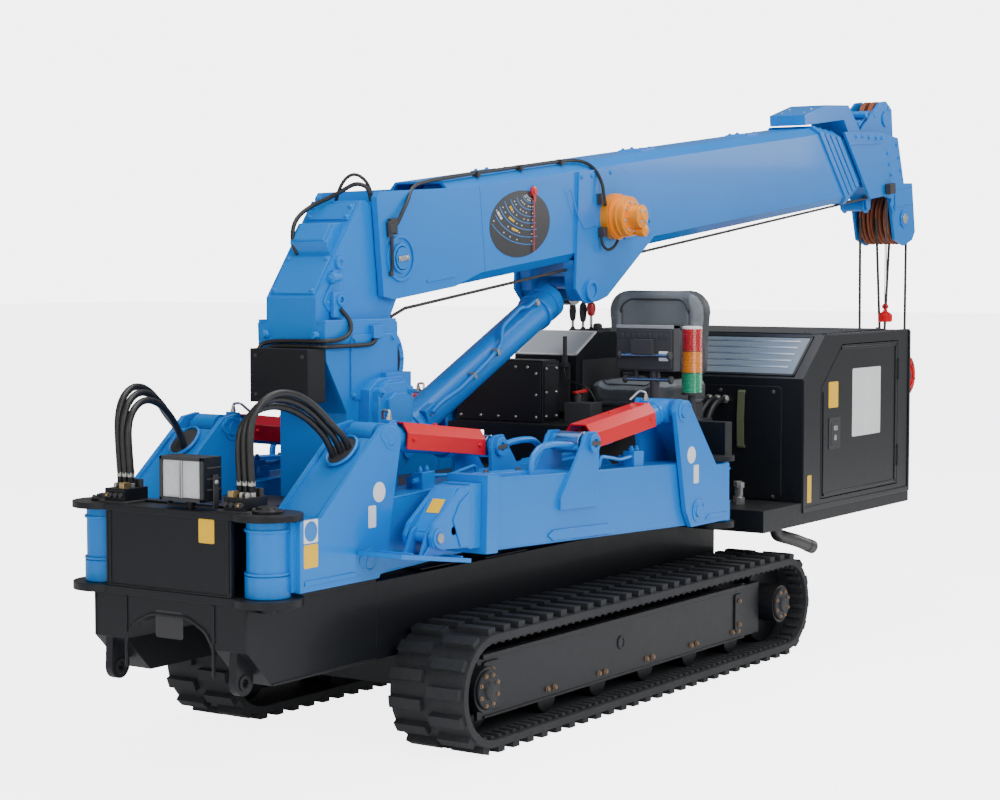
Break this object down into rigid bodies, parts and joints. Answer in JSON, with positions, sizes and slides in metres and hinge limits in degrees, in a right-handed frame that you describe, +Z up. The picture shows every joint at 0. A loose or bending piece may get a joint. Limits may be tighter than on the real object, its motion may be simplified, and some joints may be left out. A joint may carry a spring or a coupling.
{
  "type": "mini crawler crane",
  "caption": "Compact crane on rubber tracks with a telescopic boom laid over its engine, swinging outriggers folded along its sides, an operator's seat and a hook block.",
  "frame": {"origin": "on the ground under the middle of the machine's length and width", "axes": "+X towards the front plate with the tow lugs, +Y to the machine's left, +Z up"},
  "size_m": [5.8402, 1.34, 2.5419],
  "materials": {
    "blue_paint": "glossy bright blue paint",
    "black_paint": "satin charcoal black paint",
    "track_rubber": "worn matt black rubber",
    "seat_vinyl": "grey grained vinyl",
    "red_paint": "glossy red paint",
    "orange_paint": "glossy orange paint",
    "forged_steel": "dark forged steel",
    "sheave_steel": "rope-polished steel with light rust",
    "wire_rope": "greased steel wire rope",
    "chrome_rod": "hard chrome",
    "signal_lens": "red, amber and green lens plastic",
    "dark_plastic": "matt dark plastic",
    "lamp_housing": "black plastic with a clear lens",
    "valve_steel": "zinc-plated steel"
  },
  "bodies": {
    "machine": {"chassis": "black_paint", "front_frame": "black_paint", "track_left": "track_rubber", "track_right": "track_rubber", "track_frame_left": "black_paint", "track_frame_right": "black_paint", "valve_blocks": "valve_steel", "work_lamp": "lamp_housing", "engine_base": "black_paint", "engine_block": "black_paint", "engine_cover": "black_paint", "seat_base": "black_paint", "seat_cushion": "seat_vinyl", "seat_back": "seat_vinyl", "control_cabinet": "black_paint", "hydraulic_box": "black_paint", "beacon_stack": "signal_lens", "monitor": "dark_plastic"},
    "engine_door": {"engine_door": "black_paint"},
    "slewing_post": {"turntable": "black_paint", "post": "blue_paint", "winch": "blue_paint", "junction_box": "black_paint"},
    "boom": {"boom_base": "blue_paint", "rope_reel": "orange_paint"},
    "boom_stage_1": {"boom_section_1": "blue_paint"},
    "boom_stage_2": {"boom_section_2": "blue_paint"},
    "boom_stage_3": {"boom_section_3": "blue_paint"},
    "boom_tip": {"boom_section_4": "blue_paint", "boom_head": "blue_paint", "head_sheaves": "sheave_steel"},
    "hanging_block": {"hook_block": "red_paint", "rope_falls": "wire_rope"},
    "hook": {"hook": "forged_steel"},
    "lift_barrel": {"lift_barrel": "blue_paint"},
    "lift_rod": {"lift_rod": "chrome_rod"},
    "front_left_bracket": {"front_left_bracket": "blue_paint"},
    "front_left_arm": {"front_left_arm": "blue_paint"},
    "front_left_inner_arm": {"front_left_inner_arm": "blue_paint"},
    "front_left_foot": {"front_left_foot": "blue_paint"},
    "front_left_barrel": {"front_left_barrel": "blue_paint"},
    "front_left_rod": {"front_left_rod": "chrome_rod"},
    "front_right_bracket": {"front_right_bracket": "blue_paint"},
    "front_right_arm": {"front_right_arm": "blue_paint"},
    "front_right_inner_arm": {"front_right_inner_arm": "blue_paint"},
    "front_right_foot": {"front_right_foot": "blue_paint"},
    "front_right_barrel": {"front_right_barrel": "blue_paint"},
    "front_right_rod": {"front_right_rod": "chrome_rod"},
    "rear_left_bracket": {"rear_left_bracket": "blue_paint"},
    "rear_left_arm": {"rear_left_arm": "blue_paint"},
    "rear_left_inner_arm": {"rear_left_inner_arm": "blue_paint"},
    "rear_left_foot": {"rear_left_foot": "blue_paint"},
    "rear_left_barrel": {"rear_left_barrel": "blue_paint"},
    "rear_left_rod": {"rear_left_rod": "chrome_rod"},
    "rear_right_bracket": {"rear_right_bracket": "blue_paint"},
    "rear_right_arm": {"rear_right_arm": "blue_paint"},
    "rear_right_inner_arm": {"rear_right_inner_arm": "blue_paint"},
    "rear_right_foot": {"rear_right_foot": "blue_paint"},
    "rear_right_barrel": {"rear_right_barrel": "blue_paint"},
    "rear_right_rod": {"rear_right_rod": "chrome_rod"}
  },
  "joints": [
    {"name": "slew", "type": "hinge", "parent": "machine", "child": "slewing_post", "pos_m": [1.95515, 0, 0.7], "axis": [0, 0, -1], "range_deg": [-180, 180]},
    {"name": "luff", "type": "hinge", "parent": "slewing_post", "child": "boom", "pos_m": [1.80515, 0, 1.706], "axis": [0, 1, 0], "range_deg": [0, 71.5]},
    {"name": "lift_barrel_pivot", "type": "hinge", "parent": "slewing_post", "child": "lift_barrel", "pos_m": [1.72015, 0, 1.005], "axis": [0, 1, 0], "range_deg": [0, 51.78]},
    {"name": "lift_rod_slide", "type": "slide", "parent": "lift_barrel", "child": "lift_rod", "axis": [-0.904, 0, 0.4276], "range_m": [0, 0.6075]},
    {"name": "telescope_1", "type": "slide", "parent": "boom", "child": "boom_stage_1", "axis": [-0.9936, 0, 0.1132], "range_m": [0, 2.7]},
    {"name": "telescope_2", "type": "slide", "parent": "boom_stage_1", "child": "boom_stage_2", "axis": [-0.9936, 0, 0.1132], "range_m": [0, 2.7]},
    {"name": "telescope_3", "type": "slide", "parent": "boom_stage_2", "child": "boom_stage_3", "axis": [-0.9936, 0, 0.1132], "range_m": [0, 2.7]},
    {"name": "telescope_4", "type": "slide", "parent": "boom_stage_3", "child": "boom_tip", "axis": [-0.9936, 0, 0.1132], "range_m": [0, 2.7]},
    {"name": "hook_hang", "type": "hinge", "parent": "boom_tip", "child": "hanging_block", "pos_m": [-2.7595, 0, 1.92413], "axis": [0, 1, 0], "range_deg": [-80, 80]},
    {"name": "hook_swivel", "type": "hinge", "parent": "hanging_block", "child": "hook", "pos_m": [-2.7595, 0, 0.955], "axis": [0, 0, 1], "continuous": true},
    {"name": "engine_door_hinge", "type": "hinge", "parent": "machine", "child": "engine_door", "pos_m": [-1.44235, 0.66, 0.9845], "axis": [0, 0, 1], "range_deg": [0, 110]},
    {"name": "front_left_swing", "type": "hinge", "parent": "machine", "child": "front_left_bracket", "pos_m": [2.80515, 0.35, 0.701], "axis": [0, 0, -1], "range_deg": [0, 120]},
    {"name": "front_left_tilt", "type": "hinge", "parent": "front_left_bracket", "child": "front_left_arm", "pos_m": [2.40015, 0.35, 0.701], "axis": [0, -1, 0], "range_deg": [0, 45]},
    {"name": "front_left_extend", "type": "slide", "parent": "front_left_arm", "child": "front_left_inner_arm", "axis": [0.9993, 0, -0.0384], "range_m": [-0.45, 0]},
    {"name": "front_left_foot_hinge", "type": "hinge", "parent": "front_left_inner_arm", "child": "front_left_foot", "pos_m": [0.67161, 0.35, 0.77241], "axis": [0, 1, 0], "range_deg": [-5, 25]},
    {"name": "front_left_barrel_pivot", "type": "hinge", "parent": "front_left_bracket", "child": "front_left_barrel", "pos_m": [2.28015, 0.35, 1.105], "axis": [0, -1, 0], "range_deg": [0, 41.9]},
    {"name": "front_left_rod_slide", "type": "slide", "parent": "front_left_barrel", "child": "front_left_rod", "axis": [-0.9932, 0, -0.1167], "range_m": [0, 0.322]},
    {"name": "front_right_swing", "type": "hinge", "parent": "machine", "child": "front_right_bracket", "pos_m": [2.80515, -0.35, 0.701], "axis": [0, 0, 1], "range_deg": [0, 120]},
    {"name": "front_right_tilt", "type": "hinge", "parent": "front_right_bracket", "child": "front_right_arm", "pos_m": [2.40015, -0.35, 0.701], "axis": [0, -1, 0], "range_deg": [0, 45]},
    {"name": "front_right_extend", "type": "slide", "parent": "front_right_arm", "child": "front_right_inner_arm", "axis": [0.9993, 0, -0.0384], "range_m": [-0.45, 0]},
    {"name": "front_right_foot_hinge", "type": "hinge", "parent": "front_right_inner_arm", "child": "front_right_foot", "pos_m": [0.67161, -0.35, 0.77241], "axis": [0, 1, 0], "range_deg": [-5, 25]},
    {"name": "front_right_barrel_pivot", "type": "hinge", "parent": "front_right_bracket", "child": "front_right_barrel", "pos_m": [2.28015, -0.35, 1.105], "axis": [0, -1, 0], "range_deg": [0, 41.9]},
    {"name": "front_right_rod_slide", "type": "slide", "parent": "front_right_barrel", "child": "front_right_rod", "axis": [-0.9932, 0, -0.1167], "range_m": [0, 0.322]},
    {"name": "rear_left_swing", "type": "hinge", "parent": "machine", "child": "rear_left_bracket", "pos_m": [0.19515, 0.55, 0.701], "axis": [0, 0, 1], "range_deg": [0, 110]},
    {"name": "rear_left_tilt", "type": "hinge", "parent": "rear_left_bracket", "child": "rear_left_arm", "pos_m": [0.50515, 0.55, 0.701], "axis": [0, 1, 0], "range_deg": [0, 45]},
    {"name": "rear_left_extend", "type": "slide", "parent": "rear_left_arm", "child": "rear_left_inner_arm", "axis": [0.9993, 0, 0.0384], "range_m": [0, 0.45]},
    {"name": "rear_left_foot_hinge", "type": "hinge", "parent": "rear_left_inner_arm", "child": "rear_left_foot", "pos_m": [2.23368, 0.55, 0.77241], "axis": [0, -1, 0], "range_deg": [-5, 25]},
    {"name": "rear_left_barrel_pivot", "type": "hinge", "parent": "rear_left_bracket", "child": "rear_left_barrel", "pos_m": [0.62515, 0.55, 1.105], "axis": [0, 1, 0], "range_deg": [0, 41.9]},
    {"name": "rear_left_rod_slide", "type": "slide", "parent": "rear_left_barrel", "child": "rear_left_rod", "axis": [0.9932, 0, -0.1167], "range_m": [0, 0.322]},
    {"name": "rear_right_swing", "type": "hinge", "parent": "machine", "child": "rear_right_bracket", "pos_m": [0.19515, -0.55, 0.701], "axis": [0, 0, -1], "range_deg": [0, 110]},
    {"name": "rear_right_tilt", "type": "hinge", "parent": "rear_right_bracket", "child": "rear_right_arm", "pos_m": [0.50515, -0.55, 0.701], "axis": [0, 1, 0], "range_deg": [0, 45]},
    {"name": "rear_right_extend", "type": "slide", "parent": "rear_right_arm", "child": "rear_right_inner_arm", "axis": [0.9993, 0, 0.0384], "range_m": [0, 0.45]},
    {"name": "rear_right_foot_hinge", "type": "hinge", "parent": "rear_right_inner_arm", "child": "rear_right_foot", "pos_m": [2.23368, -0.55, 0.77241], "axis": [0, -1, 0], "range_deg": [-5, 25]},
    {"name": "rear_right_barrel_pivot", "type": "hinge", "parent": "rear_right_bracket", "child": "rear_right_barrel", "pos_m": [0.62515, -0.55, 1.105], "axis": [0, 1, 0], "range_deg": [0, 41.9]},
    {"name": "rear_right_rod_slide", "type": "slide", "parent": "rear_right_barrel", "child": "rear_right_rod", "axis": [0.9932, 0, -0.1167], "range_m": [0, 0.322]}
  ],
  "couplings": [
    {"joint": "slew", "follows": "luff", "ratio": 0.6},
    {"joint": "lift_barrel_pivot", "follows": "luff", "ratio": 0.71726},
    {"joint": "lift_rod_slide", "follows": "luff", "m_per_rad": 0.48277},
    {"joint": "telescope_2", "follows": "telescope_1", "ratio": 1},
    {"joint": "telescope_3", "follows": "telescope_1", "ratio": 1},
    {"joint": "telescope_4", "follows": "telescope_1", "ratio": 1},
    {"joint": "hook_hang", "follows": "luff", "ratio": -1},
    {"joint": "front_left_swing", "follows": "rear_left_swing", "ratio": 0.09},
    {"joint": "front_left_tilt", "follows": "rear_left_swing", "ratio": 0.01},
    {"joint": "front_left_barrel_pivot", "follows": "rear_left_swing", "ratio": 0.011},
    {"joint": "front_left_rod_slide", "follows": "rear_left_swing", "m_per_rad": 0.00416},
    {"joint": "front_right_swing", "follows": "rear_right_swing", "ratio": 0.09},
    {"joint": "front_right_tilt", "follows": "rear_right_swing", "ratio": 0.01},
    {"joint": "front_right_barrel_pivot", "follows": "rear_right_swing", "ratio": 0.011},
    {"joint": "front_right_rod_slide", "follows": "rear_right_swing", "m_per_rad": 0.00416},
    {"joint": "rear_left_tilt", "follows": "rear_left_swing", "ratio": 0.15},
    {"joint": "rear_left_barrel_pivot", "follows": "rear_left_swing", "ratio": 0.1522},
    {"joint": "rear_left_rod_slide", "follows": "rear_left_swing", "m_per_rad": 0.062978},
    {"joint": "rear_right_tilt", "follows": "rear_right_swing", "ratio": 0.15},
    {"joint": "rear_right_barrel_pivot", "follows": "rear_right_swing", "ratio": 0.1522},
    {"joint": "rear_right_rod_slide", "follows": "rear_right_swing", "m_per_rad": 0.062978}
  ]
}
